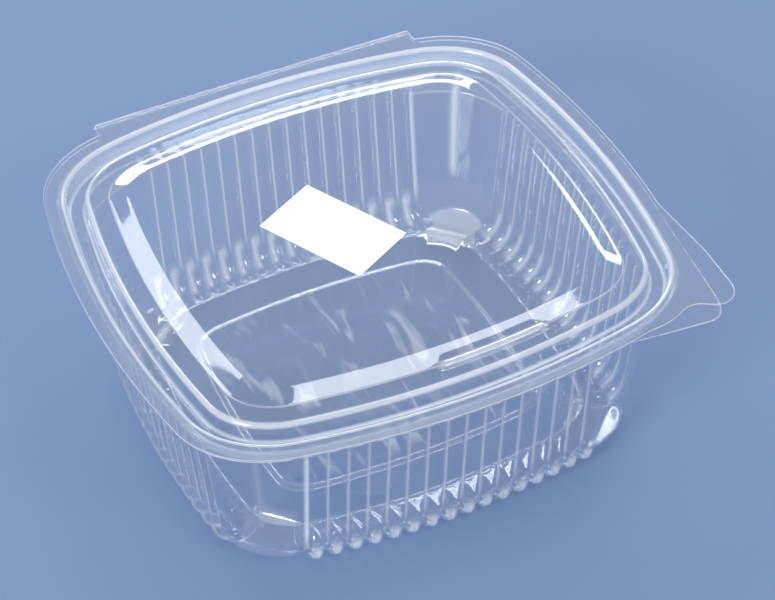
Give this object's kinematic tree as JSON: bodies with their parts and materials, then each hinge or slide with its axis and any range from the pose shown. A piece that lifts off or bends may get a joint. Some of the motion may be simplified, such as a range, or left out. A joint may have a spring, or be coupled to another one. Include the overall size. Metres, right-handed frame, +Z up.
{
  "type": "takeaway meal container",
  "caption": "Clear square hinged takeaway container: fluted tray, shut lid with a plug rim and lifting tabs, and a blank label.",
  "frame": {"origin": "middle of the container on the table, under the tray", "axes": "X along the hinge, Y from the front with the lifting tabs' side to the hinge at the back, Z up"},
  "size_m": [0.1302, 0.123, 0.0517],
  "materials": {
    "clear_tray": "clear glossy thermoformed sheet",
    "clear_lid": "clear glossy thermoformed sheet",
    "label_paper": "plain white matt label"
  },
  "bodies": {
    "tray": {"tray": "clear_tray"},
    "lid": {"lid": "clear_lid", "label": "label_paper"}
  },
  "joints": [
    {"name": "lid_hinge", "type": "hinge", "parent": "tray", "child": "lid", "pos_m": [0, 0.0619, 0.0482], "axis": [-1, 0, 0], "range_deg": [0, 180]}
  ]
}
